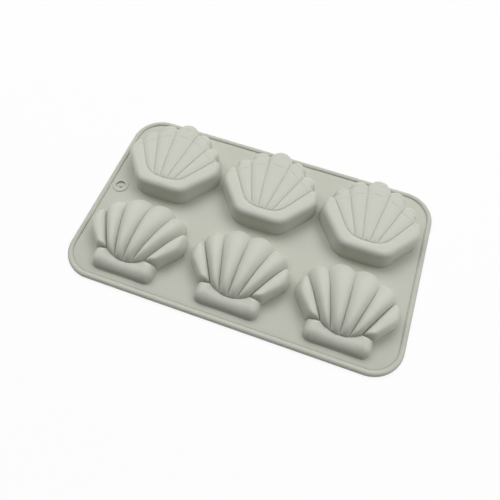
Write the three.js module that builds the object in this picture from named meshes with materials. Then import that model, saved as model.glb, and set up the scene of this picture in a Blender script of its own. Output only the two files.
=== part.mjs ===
// Silicone baking mould with two rows of shell cups, in millimetres, +Z up.
// It lies mouths down: the cups stand up from a flat web, and the rim bead rests on the table.
// The origin is the centre of its footprint, at the height of the table.
import * as THREE from "three";

// The web that carries the cups
const webThickness = 1.8;
const webTop = 3;
const cornerRadius = 27;

// The bead round the web's edge
const beadWidth = 4.6;
const beadHeight = 4.2;
const beadShoulder = 2.2;
const beadFootInset = 0.9;
const beadFootRise = 0.8;

// How the cups are laid out
const cupColumns = 3;
const cupGap = 2.4;
const endMargin = 4.05;
const frontMargin = 5.9;
const rowGap = 8.2;
const backMargin = 2.1;
const cupWall = 2;

// Scallop cup: shallow ribs inside a smooth horseshoe lip. Heights are above the web.
const scallop = {
  width: 89.3,
  length: 78.8,
  height: 19,
  edgeRadius: 5,
  draftInset: 1.3,
  backDrop: 1,
  sideDrop: 4,
  grooveDepth: 1.5,
  grooveReach: 3.2,
  creaseDepth: 1.3,
  creaseReach: 2.4,
  spineHalf: 16.7,
  spineFront: 12,
  spineRise: 3.3,
};

// Clam cup: puffy ribs that roll down behind a hinge bar. Heights are above the web.
const clam = {
  width: 85.6,
  length: 72.8,
  height: 20,
  hingeHeight: 10.9,
  hingeRadius: 7.5,
  hingeInset: 0.8,
  hingeDip: 2.2,
  creaseDepth: 0.8,
  creaseReach: 2.4,
  spineHalf: 16.7,
  spineFront: 10,
  spineRise: 5.8,
};

// Gate pad: a low disc with a small well in it, where the silicone was let into the tool
const padRadius = 6.8;
const padRise = 0.5;
const padEdge = 0.4;
const padClearance = 2.2;
const padAhead = 4;
const wellRadius = 4.4;
const wellDepth = 1;
const nubRadius = 0.9;
const nubRise = 0.5;

// How finely the round stretches are divided
const cornerSteps = 8;
const beadSteps = 3;
const padSteps = 28;
const edgeSteps = 3;
const slopeSteps = 5;
const crownSteps = 4;
const lobeSteps = 9;
const flankSteps = 8;
const hingeEndSteps = 3;

// Creases between ribs, from the middle outwards: the notch where each reaches the web, as shares of half
// the width and of the length, and how far along the spine it starts
const scallopNotchShares = [[0.242, 0.898], [0.587, 0.768], [0.838, 0.612]];
const scallopSpineShares = [0.19, 0.55, 1];
const clamNotchShares = [[0, 0.955], [0.528, 0.897], [0.853, 0.717]];
const clamSpineShares = [0, 0.43, 1];

// How far each rib's end swells past the line between its notches, as a share of that line
const scallopSwellShares = [0.37, 0.324, 0.3];
const clamSwellShares = [0.226, 0.262];

// The rest of each outline, from the outermost notch to the middle of the front, in the same shares
const scallopLipShares = [
  [0.885, 0.63], [0.95, 0.61], [0.992, 0.55], [0.998, 0.48], [0.975, 0.41], [0.925, 0.34],
  [0.785, 0.23], [0.64, 0.125], [0.54, 0.055], [0.42, 0.012], [0.27, 0], [0, 0],
];
const scallopFrontShare = 0.62;
const clamFlankShares = [
  [0.9, 0.71], [0.958, 0.66], [0.99, 0.6], [1, 0.54], [0.985, 0.475], [0.915, 0.405], [0.8, 0.325], [0.64, 0.213],
];
const clamHingeShares = [
  [0.645, 0.13], [0.625, 0.06], [0.56, 0.012], [0.47, 0], [0.25, 0], [0, 0],
];
const clamFrontShare = 0.3;

// Heights of the clam's creases and of the crests between them, as shares of its height, and how far back
// from a rib's tip its highest place lies, as a share of the rib
const clamCreaseShares = [0.875, 0.825, 0.575];
const clamCrestShares = [1, 0.925, 0.73];
const clamPeakShares = [0.53, 0.54, 0.6, 0.62];

// Where the surface is worked out across a rib, from crease to crease, and how sharp its creases are
const scallopAcrossShares = [-1, -0.6, 0, 0.6, 1];
const clamAcrossShares = [-1, -0.56, 0, 0.56, 1];
const grooveSharpness = 3.5;
const ribFullness = 0.7;

// The least squareness that widens a rounded edge, and the most of a column that the edge may take
const leastSquareness = 0.45;
const mostEdgeShare = 0.8;

// The cavity's wall: how many walls apart vertices stand where it is measured straight down and how many where it
// is measured squarely, how many walls deep it may be straight down, and the upward share of the normal below
// which a side counts as steep
const closeSpacing = 0.2;
const openSpacing = 1.2;
const wallStretch = 1.5;
const steepRise = 0.55;

// Sizes and places that follow
const widestCup = Math.max(scallop.width, clam.width);
const pitch = widestCup + cupGap;
const mouldLength = (cupColumns - 1) * pitch + widestCup + 2 * (endMargin + beadWidth);
const mouldDepth = 2 * beadWidth + frontMargin + clam.length + rowGap + scallop.length + backMargin;
const webBottom = webTop - webThickness;
const clamFront = beadWidth + frontMargin - mouldDepth / 2;
const scallopFront = clamFront + clam.length + rowGap;

const { lerp, clamp } = THREE.MathUtils;

// Points of a cup's plan

function planPoint(cup, [across, along]) {
  return new THREE.Vector2((across * cup.width) / 2, along * cup.length);
}

// The spine is the arc that every column climbs to. Share 0 is its middle and share 1 its end.
function spinePoint(cup, share) {
  const radius = (cup.spineHalf ** 2 + cup.spineRise ** 2) / (2 * cup.spineRise);
  const turn = share * Math.asin(Math.min(1, cup.spineHalf / radius));
  return new THREE.Vector2(
    radius * Math.sin(turn),
    cup.spineFront + radius * (1 - Math.cos(turn)),
  );
}

// A point of the circular arc from a to b that swells to the left by a share of the line between them
function swollenPoint(a, b, swellShare, share) {
  const along = b.clone().sub(a);
  const half = along.length() / 2;
  const swell = 2 * half * swellShare;
  const radius = (half ** 2 + swell ** 2) / (2 * swell);
  const turn = lerp(-1, 1, share) * Math.asin(Math.min(1, half / radius));
  along.normalize();
  const left = new THREE.Vector2(-along.y, along.x);
  return a.clone()
    .addScaledVector(along, half + radius * Math.sin(turn))
    .addScaledVector(left, radius * Math.cos(turn) - radius + swell);
}

// Points of an outline curve between two shares of its length
function curvePoints(curve, from, to, steps) {
  return Array.from({ length: steps + 1 }, (_, i) => curve.getPointAt(lerp(from, to, i / steps)));
}

// A crease: its notch on the web and where it starts on the spine
function creasesOf(cup, notchShares, spineShares) {
  return notchShares.map((shares, i) => ({ notch: planPoint(cup, shares), spineShare: spineShares[i] }));
}

// Columns over the ribs, from the middle of the back to the outermost crease on the right
function ribColumns(creases, swellShares, acrossShares) {
  const middle = creases[0];
  const straddles = middle.notch.x > 0;
  const facing = { notch: new THREE.Vector2(-middle.notch.x, middle.notch.y), spineShare: -middle.spineShare };
  const bounds = straddles ? [facing, ...creases] : creases;
  const columns = [];
  bounds.slice(1).forEach((outer, rib) => {
    const inner = bounds[rib];
    acrossShares.forEach((across) => {
      const repeated = columns.length > 0 && across === -1;
      const leftOfMiddle = straddles && rib === 0 && across < 0;
      if (repeated || leftOfMiddle) return;
      const share = (across + 1) / 2;
      columns.push({
        foot: swollenPoint(inner.notch, outer.notch, swellShares[rib], share),
        spineShare: lerp(inner.spineShare, outer.spineShare, share),
        rib,
        across,
      });
    });
  });
  return columns;
}

// How squarely each column meets the outline: 1 where it stands across it, less where it runs aslant
function withSquareness(ring) {
  return ring.map((column, k) => {
    const outline = ring[(k + 1) % ring.length].foot.clone().sub(ring.at(k - 1).foot).normalize();
    const inward = column.top.clone().sub(column.foot).normalize();
    return { ...column, square: Math.max(leastSquareness, Math.abs(outline.cross(inward))) };
  });
}

// Mirrors the right half's columns, which run from the middle of the back to the middle of the front, into the
// whole ring, anticlockwise from the middle of the front
function wholeRing(cup, half) {
  const right = [...half].reverse();
  const left = half.slice(1, -1).map((column) => ({ ...column, mirror: true }));
  const ring = [...right, ...left].map((column) => {
    const side = column.mirror ? -1 : 1;
    const foot = column.foot;
    const top = spinePoint(cup, column.spineShare);
    return {
      ...column,
      foot: new THREE.Vector2(Math.fround(side * foot.x), Math.fround(foot.y)),
      top: new THREE.Vector2(side * top.x, top.y),
    };
  });
  return withSquareness(ring);
}

// Scallop cup

const scallopCreases = creasesOf(scallop, scallopNotchShares, scallopSpineShares);

function scallopRing() {
  const ribs = ribColumns(scallopCreases, scallopSwellShares, scallopAcrossShares);
  const outermost = scallopCreases.at(-1);
  const outline = [outermost.notch, ...scallopLipShares.map((shares) => planPoint(scallop, shares))];
  const curve = new THREE.SplineCurve(outline);
  const lobe = curvePoints(curve, 0, scallopFrontShare, lobeSteps).slice(1);
  const front = curvePoints(curve, scallopFrontShare, 1, ribs.length - 1).slice(1);
  const lip = [
    ...lobe.map((foot) => ({ foot, spineShare: 1 })),
    ...front.map((foot, i) => ({ foot, spineShare: ribs.at(-2 - i).spineShare })),
  ];
  return wholeRing(scallop, [...ribs, ...lip]);
}

// Depth of the groove that bounds the lip, at a point that stands beside it
function lipGroove(column, point) {
  const start = spinePoint(scallop, 1);
  const groove = scallopCreases.at(-1).notch.clone().sub(start).normalize();
  const offset = new THREE.Vector2(Math.abs(point.x), point.y).sub(start);
  const beside = Math.abs(groove.cross(offset));
  const behind = groove.dot(offset) > 0 && column.spineShare === 1;
  return behind ? scallop.grooveDepth * clamp(1 - beside / scallop.grooveReach, 0, 1) ** 2 : 0;
}

// Height of the scallop's top at a distance in from the foot of a column
function scallopTop(column, length, inset) {
  const point = column.foot.clone().lerp(column.top, inset / length);
  const out = (2 * Math.abs(point.x)) / scallop.width;
  const back = point.y / scallop.length;
  const crown = scallop.height - scallop.backDrop * back ** 2 - scallop.sideDrop * out ** 2 * back;
  const inRib = column.across !== undefined;
  const groove = inRib ? scallop.grooveDepth * Math.abs(column.across) ** grooveSharpness : lipGroove(column, point);
  const near = clamp(1 - (length - inset) / scallop.creaseReach, 0, 1) ** 2;
  return crown - lerp(groove, scallop.creaseDepth, near);
}

// Rows of a scallop column, as [distance in from its foot, height above the web]
function scallopRows(column) {
  const length = column.foot.distanceTo(column.top);
  const draft = scallop.draftInset / column.square;
  const edge = Math.min(scallop.edgeRadius / column.square, (length - draft) * mostEdgeShare);
  const shoulder = draft + edge;
  const top = scallopTop(column, length, shoulder);
  const rows = [[0, 0]];
  for (let i = 0; i <= edgeSteps; i++) {
    const turn = (i / edgeSteps) * (Math.PI / 2);
    rows.push([shoulder - edge * Math.cos(turn), top - edge * column.square * (1 - Math.sin(turn))]);
  }
  const crease = Math.max(length - scallop.creaseReach, lerp(shoulder, length, 0.5));
  for (const inset of [lerp(shoulder, crease, 0.5), crease, lerp(crease, length, 0.6), length]) {
    rows.push([inset, scallopTop(column, length, inset)]);
  }
  return rows;
}

// Clam cup

const clamCreases = creasesOf(clam, clamNotchShares, clamSpineShares);

function clamRing() {
  const ribs = ribColumns(clamCreases, clamSwellShares, clamAcrossShares);
  const outermost = clamCreases.at(-1);
  const flankOutline = [outermost.notch, ...clamFlankShares.map((shares) => planPoint(clam, shares))];
  const flank = curvePoints(new THREE.SplineCurve(flankOutline), 0, 1, flankSteps).slice(1);
  const hingeOutline = [flankOutline.at(-1), ...clamHingeShares.map((shares) => planPoint(clam, shares))];
  const hingeCurve = new THREE.SplineCurve(hingeOutline);
  const hingeEnd = curvePoints(hingeCurve, 0, clamFrontShare, hingeEndSteps).slice(1);
  const front = curvePoints(hingeCurve, clamFrontShare, 1, ribs.length - 1).slice(1);
  const hinge = [
    ...hingeEnd.map((foot) => ({ foot, spineShare: 1 })),
    ...front.map((foot, i) => ({ foot, spineShare: ribs.at(-2 - i).spineShare })),
  ];
  return wholeRing(clam, [
    ...ribs,
    ...flank.map((foot, i) => ({ foot, spineShare: 1, flankShare: (i + 1) / flankSteps })),
    ...hinge,
  ]);
}

function clamSpineHeight(spineShare) {
  return clam.hingeHeight - clam.hingeDip * (1 - spineShare ** 2) - clam.creaseDepth;
}

// Highest place of a column over the clam's ribs, and how far in it lies as a share of the column
function clamPeak(column) {
  const last = clamCreaseShares.length - 1;
  const across = column.across ?? lerp(-1, 1, column.flankShare);
  const share = (across + 1) / 2;
  const rib = column.rib ?? last;
  const inner = clamCreaseShares[rib] * clam.height;
  const outer = rib < last ? clamCreaseShares[rib + 1] * clam.height : clamSpineHeight(1);
  const swell = clamCrestShares[rib] * clam.height - (inner + outer) / 2;
  const fullness = (1 - across ** 2) ** ribFullness;
  return {
    height: lerp(inner, outer, share) + swell * fullness,
    share: lerp(clamPeakShares[rib], clamPeakShares[rib + 1], share),
  };
}

// Rows of a column over the ribs: a quarter of an ellipse up to its peak, then another down to the spine
function clamRibRows(column) {
  const length = column.foot.distanceTo(column.top);
  const end = clamSpineHeight(column.spineShare);
  const peak = clamPeak(column);
  const height = Math.max(peak.height, end);
  const rise = peak.share * length;
  const fall = length - rise;
  const drop = Math.acos(end / height);
  const rows = [];
  for (let i = 0; i < slopeSteps; i++) {
    const turn = (i / slopeSteps) * (Math.PI / 2);
    rows.push([rise * (1 - Math.cos(turn)), height * Math.sin(turn)]);
  }
  for (let i = 0; i <= crownSteps; i++) {
    const turn = (i / crownSteps) * drop;
    const inset = drop > 0 ? Math.sin(turn) / Math.sin(drop) : i / crownSteps;
    rows.push([rise + fall * inset, height * Math.cos(turn)]);
  }
  return rows;
}

// Rows of a column over the hinge bar: a short wall, a rounded edge and a crown that dips into the crease
function clamHingeRows(column) {
  const length = column.foot.distanceTo(column.top);
  const end = clamSpineHeight(column.spineShare);
  const crown = end + clam.creaseDepth;
  const draft = clam.hingeInset / column.square;
  const edge = Math.min(clam.hingeRadius / column.square, (length - draft) * mostEdgeShare);
  const shoulder = draft + edge;
  const rows = [[0, 0]];
  for (let i = 0; i < slopeSteps; i++) {
    const turn = (i / (slopeSteps - 1)) * (Math.PI / 2);
    rows.push([shoulder - edge * Math.cos(turn), crown - edge * column.square * (1 - Math.sin(turn))]);
  }
  for (let i = 1; i <= crownSteps; i++) {
    const inset = lerp(shoulder, length, i / crownSteps);
    const near = clamp(1 - (length - inset) / clam.creaseReach, 0, 1) ** 2;
    rows.push([inset, crown - clam.creaseDepth * near]);
  }
  return rows;
}

function clamRows(column) {
  const overRibs = column.across !== undefined || column.flankShare !== undefined;
  return overRibs ? clamRibRows(column) : clamHingeRows(column);
}

// A list of vertices in which a point that comes again keeps its first number
class Vertices {
  constructor() {
    this.points = [];
    this.numbers = new Map();
  }

  add(point) {
    const key = point.toArray().map((value) => value.toFixed(5)).join();
    if (!this.numbers.has(key)) {
      this.numbers.set(key, this.points.length);
      this.points.push(point);
    }
    return this.numbers.get(key);
  }
}

// Two triangles for four corners that run anticlockwise, split along the shorter diagonal, leaving out any
// that has shrunk to a line
function addQuad(triangles, points, a, b, c, d) {
  const [across, along] = [points[a].distanceToSquared(points[c]), points[b].distanceToSquared(points[d])];
  for (const [p, q, r] of across < along ? [[a, b, c], [a, c, d]] : [[b, c, d], [b, d, a]]) {
    if (p !== q && q !== r && r !== p) triangles.push([p, q, r]);
  }
}

function geometryOf(points, triangles) {
  const geometry = new THREE.BufferGeometry();
  geometry.setAttribute("position", new THREE.Float32BufferAttribute(points.flatMap((p) => p.toArray()), 3));
  geometry.setIndex(triangles.flat());
  geometry.computeVertexNormals();
  return geometry;
}

// How far each vertex is from its neighbours: in plan from the next columns, and in space along its own
function vertexSpacings(points, numbers) {
  const spacings = points.map(() => Infinity);
  const narrow = (a, b, spacing) => {
    if (a === b) return;
    spacings[a] = Math.min(spacings[a], spacing);
    spacings[b] = Math.min(spacings[b], spacing);
  };
  numbers.forEach((here, k) => {
    const next = numbers[(k + 1) % numbers.length];
    here.forEach((a, j) => {
      const beside = points[next[j]];
      narrow(a, next[j], Math.hypot(points[a].x - beside.x, points[a].y - beside.y));
      if (j > 0) narrow(a, here[j - 1], points[a].distanceTo(points[here[j - 1]]));
    });
  });
  return spacings;
}

// A vertex of the cavity: one wall in along the normal on steep sides and where its neighbours stand apart, and
// straight down where they close up on the spine
function cavityPoint(point, normal, spacing) {
  const open = THREE.MathUtils.smoothstep(spacing / cupWall, closeSpacing, openSpacing);
  const sideways = lerp(1, open, clamp(normal.z / steepRise, 0, 1));
  const level = Math.hypot(normal.x, normal.y);
  const down = (cupWall * (1 - sideways * level ** 2)) / normal.z;
  const side = sideways * cupWall;
  return new THREE.Vector3(
    point.x - side * normal.x,
    point.y - side * normal.y,
    point.z - Math.min(down, wallStretch * cupWall),
  );
}

// The closed wall of a cup: its outer sheet, the same sheet one wall further in, and the ring of its mouth
function cupGeometry(ring, rowsOf) {
  const outer = new Vertices();
  const numbers = ring.map((column) => {
    const rows = rowsOf(column);
    const length = rows.at(-1)[0];
    return rows.map(([inset, height]) => {
      const point = column.foot.clone().lerp(column.top, inset / length);
      return outer.add(new THREE.Vector3(point.x, point.y, webTop + height));
    });
  });
  const sheet = [];
  ring.forEach((_, k) => {
    const here = numbers[k];
    const next = numbers[(k + 1) % ring.length];
    for (let j = 0; j < here.length - 1; j++) {
      addQuad(sheet, outer.points, here[j], next[j], next[j + 1], here[j + 1]);
    }
  });
  const attribute = geometryOf(outer.points, sheet).getAttribute("normal");
  const normals = outer.points.map((_, i) => new THREE.Vector3().fromBufferAttribute(attribute, i));
  const spacings = vertexSpacings(outer.points, numbers);
  const inner = outer.points.map((point, i) => cavityPoint(point, normals[i], spacings[i]));
  numbers.forEach(([foot]) => {
    const outward = normals[foot].clone().setZ(0).normalize();
    inner[foot].copy(outer.points[foot]).addScaledVector(outward, -cupWall).setZ(webBottom);
  });
  const mouth = numbers.map(([foot]) => outer.points[foot].clone().setZ(webBottom));
  const points = [...outer.points, ...inner, ...mouth];
  const innerStart = outer.points.length;
  const mouthStart = 2 * innerStart;
  const triangles = [...sheet, ...sheet.map(([a, b, c]) => [innerStart + a, innerStart + c, innerStart + b])];
  ring.forEach((_, k) => {
    const after = (k + 1) % ring.length;
    const [here, next] = [numbers[k][0], numbers[after][0]];
    const [lower, lowerNext] = [mouthStart + k, mouthStart + after];
    addQuad(triangles, points, lower, lowerNext, next, here);
    addQuad(triangles, points, innerStart + here, innerStart + next, lowerNext, lower);
  });
  return geometryOf(points, triangles);
}

// Points round the mould's rounded rectangle, drawn in from its edge
function edgePoints(inset) {
  const radius = cornerRadius - inset;
  const corners = [[1, 1], [-1, 1], [-1, -1], [1, -1]];
  return corners.flatMap(([x, y], corner) =>
    Array.from({ length: cornerSteps + 1 }, (_, i) => {
      const turn = (corner + i / cornerSteps) * (Math.PI / 2);
      return new THREE.Vector2(
        x * (mouldLength / 2 - cornerRadius) + radius * Math.cos(turn),
        y * (mouldDepth / 2 - cornerRadius) + radius * Math.sin(turn),
      );
    }),
  );
}

// The bead's section, as [distance in from the mould's edge, height], anticlockwise from the table
function beadSection() {
  const middle = beadWidth / 2;
  const section = [
    [beadFootInset, 0],
    [beadWidth - beadFootInset, 0],
    [beadWidth, beadFootRise],
    [beadWidth, webTop],
  ];
  for (let i = 1; i <= beadSteps; i++) {
    const turn = (i / beadSteps) * (Math.PI / 2);
    section.push([middle + middle * Math.cos(turn), webTop + (beadHeight - webTop) * Math.sin(turn)]);
  }
  for (let i = 1; i <= beadSteps; i++) {
    const turn = (i / beadSteps) * (Math.PI / 2);
    section.push([middle - middle * Math.sin(turn), beadHeight - beadShoulder * (1 - Math.cos(turn))]);
  }
  section.push([0, beadFootRise]);
  return section;
}

function beadGeometry() {
  const section = beadSection();
  const loops = section.map(([inset, height]) =>
    edgePoints(inset).map((point) => new THREE.Vector3(point.x, point.y, height)),
  );
  const count = loops[0].length;
  const points = loops.flat();
  const triangles = [];
  loops.forEach((_, j) => {
    const here = j * count;
    const next = ((j + 1) % loops.length) * count;
    for (let k = 0; k < count; k++) {
      const after = (k + 1) % count;
      addQuad(triangles, points, here + k, next + k, next + after, here + after);
    }
  });
  return geometryOf(points, triangles);
}

// Where each cup stands, as the middle of its front on the web
const cupPlaces = Array.from({ length: cupColumns }, (_, i) => (i - (cupColumns - 1) / 2) * pitch);
const padPlace = new THREE.Vector2(
  padRadius + padClearance + beadWidth - mouldLength / 2,
  padAhead,
);

// The gate pad's section as [radius, height above the web's underside], from its foot to its middle
function padSection() {
  const top = webThickness + padRise;
  const floor = top - wellDepth;
  return [
    [0, 0],
    [padRadius, 0],
    [padRadius, top - padEdge],
    [padRadius - padEdge, top],
    [wellRadius, top],
    [wellRadius - padEdge, floor],
    [nubRadius + padEdge, floor],
    [nubRadius, floor + nubRise],
    [0, floor + nubRise],
  ].map(([radius, height]) => new THREE.Vector2(radius, height));
}

function padOutline() {
  return Array.from({ length: padSteps }, (_, i) => {
    const turn = (i / padSteps) * 2 * Math.PI;
    return new THREE.Vector2(
      padPlace.x + Math.fround(padRadius * Math.sin(turn)),
      padPlace.y - Math.fround(padRadius * Math.cos(turn)),
    );
  });
}

// The web has a hole for each cup and one for the gate pad
function webGeometry(rows) {
  const shape = new THREE.Shape(edgePoints(beadWidth));
  rows.forEach(({ ring, front }) => {
    cupPlaces.forEach((place) => {
      const outline = ring.map(({ foot }) => new THREE.Vector2(foot.x + place, foot.y + front));
      shape.holes.push(new THREE.Path(outline));
    });
  });
  shape.holes.push(new THREE.Path(padOutline()));
  return new THREE.ExtrudeGeometry(shape, { depth: webThickness, bevelEnabled: false });
}

// Names the places of a row of cups
function placeName(index) {
  if (index === 0) return "left";
  if (index === cupColumns - 1) return "right";
  return cupColumns === 3 ? "middle" : `middle_${index}`;
}

function silicone(colour) {
  return new THREE.MeshStandardMaterial({ color: colour, roughness: 0.62, metalness: 0 });
}

const cupRows = [
  { name: "scallop_cup", ring: scallopRing(), rowsOf: scallopRows, front: scallopFront, colour: "#c6c7bf" },
  { name: "clam_cup", ring: clamRing(), rowsOf: clamRows, front: clamFront, colour: "#c4c6bc" },
];

const mould = new THREE.Group();

function addPiece(name, geometry, colour, place = new THREE.Vector3()) {
  const mesh = new THREE.Mesh(geometry, silicone(colour));
  mesh.name = name;
  mesh.position.copy(place);
  mould.add(mesh);
  return mesh;
}

addPiece("web_sheet", webGeometry(cupRows), "#bdbfb4", new THREE.Vector3(0, 0, webBottom));
addPiece("rim_bead", beadGeometry(), "#c0c2b8");
const pad = addPiece(
  "gate_pad",
  new THREE.LatheGeometry(padSection(), padSteps),
  "#bec0b5",
  new THREE.Vector3(padPlace.x, padPlace.y, webBottom),
);
pad.rotation.x = Math.PI / 2;

for (const { name, ring, rowsOf, front, colour } of cupRows) {
  const geometry = cupGeometry(ring, rowsOf);
  cupPlaces.forEach((place, i) => {
    addPiece(`${name}_${placeName(i)}`, geometry, colour, new THREE.Vector3(place, front, 0));
  });
}

export default mould;
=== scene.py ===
"""Looks of a silicone baking mould with two rows of shell cups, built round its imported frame.

Sizes and sums are in millimetres, and each mesh is written in metres. Every skin is closed and stands for one
solid.
"""

import logging
import math
from dataclasses import dataclass, field, replace
from enum import Enum
from typing import Any, Optional, Sequence

import bmesh
import bpy
import numpy as np
from mathutils import Matrix, Vector
from mathutils.geometry import delaunay_2d_cdt


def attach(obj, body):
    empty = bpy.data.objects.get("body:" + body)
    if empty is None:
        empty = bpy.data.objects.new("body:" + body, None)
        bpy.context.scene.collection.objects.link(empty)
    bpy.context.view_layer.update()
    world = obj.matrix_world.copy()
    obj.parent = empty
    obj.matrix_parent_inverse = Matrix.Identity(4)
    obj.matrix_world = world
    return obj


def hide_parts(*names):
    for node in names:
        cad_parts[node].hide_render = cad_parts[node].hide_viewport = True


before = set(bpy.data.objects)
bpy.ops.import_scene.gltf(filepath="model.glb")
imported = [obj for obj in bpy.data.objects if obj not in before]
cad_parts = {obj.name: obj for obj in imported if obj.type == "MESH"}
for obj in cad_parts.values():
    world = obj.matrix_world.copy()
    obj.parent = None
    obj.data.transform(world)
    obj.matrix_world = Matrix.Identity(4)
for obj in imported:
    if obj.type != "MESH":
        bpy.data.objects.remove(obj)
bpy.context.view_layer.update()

logging.basicConfig(level=logging.INFO, format="%(name)s: %(message)s")
log = logging.getLogger("mould")

METRES = 0.001
BODY = "root"
QUARTER = math.pi / 2
# A share or length this small counts as none.
HAIR = 1e-9
# A span whose squared length is smaller than this counts as a point.
SPECK = 1e-12
# Points of a mesh that lie closer than this, in metres, are merged.
WELD = 2e-7
# How many points are measured at a time, so that their distances fit in memory.
BATCH = 4000
# How many steps stand between two points of a curve when its length is measured.
CURVE_STEPS = 200


class Row(Enum):
    """The two rows of cups, by the name of their solids."""

    SCALLOP = "scallop_cup"
    CLAM = "clam_cup"


class Place(Enum):
    """Where a cup stands in its row, as a number of pitches from the middle."""

    LEFT = -1
    MIDDLE = 0
    RIGHT = 1


class Sheet(Enum):
    """The two sides of a cup's wall."""

    OUTER = 0
    CAVITY = 1


# Small tools


def linear(colour: str) -> tuple[float, float, float, float]:
    """Turns an sRGB hex colour into linear values.

    Args:
        colour: The colour as "#rrggbb".

    Returns:
        Linear red, green and blue, and an alpha of 1.
    """
    shares = [int(colour[i : i + 2], 16) / 255 for i in (1, 3, 5)]
    return (*[s / 12.92 if s <= 0.04045 else ((s + 0.055) / 1.055) ** 2.4 for s in shares], 1.0)


def add_node(
    tree: bpy.types.NodeTree,
    kind: str,
    values: Optional[dict[Any, Any]] = None,
    links: Optional[dict[Any, bpy.types.NodeSocket]] = None,
    **settings: Any,
) -> bpy.types.Node:
    """Adds a node with its settings and links.

    Args:
        tree: The node tree it goes into.
        kind: The node's type.
        values: What its input sockets are set to, by name or number.
        links: The output socket that each input socket reads.
        settings: The node's own settings.

    Returns:
        The new node.
    """
    node = tree.nodes.new(kind)
    for name, value in settings.items():
        setattr(node, name, value)
    for socket, value in (values or {}).items():
        node.inputs[socket].default_value = value
    for socket, source in (links or {}).items():
        tree.links.new(source, node.inputs[socket])
    return node


def blank_tree(block: bpy.types.ID) -> bpy.types.NodeTree:
    """Gives a new material or world an empty node tree.

    Args:
        block: The material or world.

    Returns:
        Its tree.
    """
    block.use_nodes = True
    block.node_tree.nodes.clear()
    return block.node_tree


def camera_rays(tree: bpy.types.NodeTree) -> bpy.types.NodeSocket:
    """Adds a value that is 1 on rays from the camera and on those that a shiny or clear thing sends on.

    Args:
        tree: The node tree it goes into.

    Returns:
        The value's socket.
    """
    rays = add_node(tree, "ShaderNodeLightPath")
    seen = rays.outputs["Is Camera Ray"]
    for ray in ("Is Glossy Ray", "Is Transmission Ray"):
        links = {0: seen, 1: rays.outputs[ray]}
        seen = add_node(tree, "ShaderNodeMath", links=links, operation="MAXIMUM").outputs[0]
    return seen


def apart_round(along: np.ndarray, total: float) -> np.ndarray:
    """Gives the shorter way round a closed outline between each two of its points."""
    apart = np.abs(along[:, None] - along[None, :])
    return np.minimum(apart, total - apart)


def smoothed(values: np.ndarray, along: np.ndarray, total: float, reach: float) -> np.ndarray:
    """Smooths values round a closed outline with a bell-shaped weight.

    Args:
        values: One row for each point of the outline.
        along: How far round the outline each point lies.
        total: The outline's whole length.
        reach: Width of the weight, in the same length.

    Returns:
        The smoothed rows.
    """
    gaps = np.diff(np.append(along, along[0] + total))
    stretch = (gaps + np.roll(gaps, 1)) / 2
    weight = np.exp(-0.5 * (apart_round(along, total) / reach) ** 2) * stretch[None, :]
    return (weight @ values) / weight.sum(axis=1, keepdims=values.ndim > 1)


def distance_to_path(points: np.ndarray, path: np.ndarray, closed: bool = False) -> np.ndarray:
    """Measures how far points lie from a path in plan.

    Args:
        points: Points of shape (..., 2).
        path: The path's corners.
        closed: Whether its last corner joins its first.

    Returns:
        The distances, of shape (...).
    """
    starts = path if closed else path[:-1]
    spans = (np.roll(path, -1, axis=0) if closed else path[1:]) - starts
    squares = np.maximum((spans**2).sum(axis=1), SPECK)
    flat = points.reshape(-1, 2)
    nearest = np.empty(len(flat))
    for first in range(0, len(flat), BATCH):
        offset = flat[first : first + BATCH, None, :] - starts
        share = np.clip((offset * spans).sum(axis=2) / squares, 0, 1)
        gap = offset - share[:, :, None] * spans
        nearest[first : first + BATCH] = np.sqrt((gap**2).sum(axis=2).min(axis=1))
    return nearest.reshape(points.shape[:-1])


def curve_points(outline: np.ndarray, shares: np.ndarray) -> np.ndarray:
    """Finds points of the smooth curve through an outline.

    Args:
        outline: The points that the curve passes through.
        shares: How far along the curve each wanted point lies, from 0 to 1.

    Returns:
        The points, of shape (n, 2).
    """
    padded = np.vstack([outline[:1], outline, outline[-1:]])
    spans = len(outline) - 1
    t = np.linspace(0, spans, CURVE_STEPS * spans + 1)
    span = np.minimum(t.astype(int), spans - 1)
    w = (t - span)[:, None]
    p0, p1, p2, p3 = (padded[span + i] for i in range(4))
    v0, v1 = (p2 - p0) / 2, (p3 - p1) / 2
    fine = (2 * p1 - 2 * p2 + v0 + v1) * w**3 + (3 * p2 - 3 * p1 - 2 * v0 - v1) * w**2 + v0 * w + p1
    along = np.concatenate([[0], np.cumsum(np.linalg.norm(np.diff(fine, axis=0), axis=1))])
    return np.column_stack([np.interp(shares * along[-1], along, fine[:, axis]) for axis in (0, 1)])


def swollen_points(a: np.ndarray, b: np.ndarray, swell_share: float, shares: np.ndarray) -> np.ndarray:
    """Finds points of the circular arc from a to b that swells to the left.

    Args:
        a: Where the arc starts.
        b: Where it ends.
        swell_share: How far it swells, as a share of the line from a to b.
        shares: How far along the arc each wanted point lies.

    Returns:
        The points, of shape (n, 2).
    """
    half = np.linalg.norm(b - a) / 2
    swell = 2 * half * swell_share
    radius = (half**2 + swell**2) / (2 * swell)
    turn = (2 * shares - 1) * math.asin(min(1, half / radius))
    along = (b - a) / (2 * half)
    left = np.array([-along[1], along[0]])
    return (
        a
        + np.outer(half + radius * np.sin(turn), along)
        + np.outer(radius * np.cos(turn) - radius + swell, left)
    )


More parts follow.
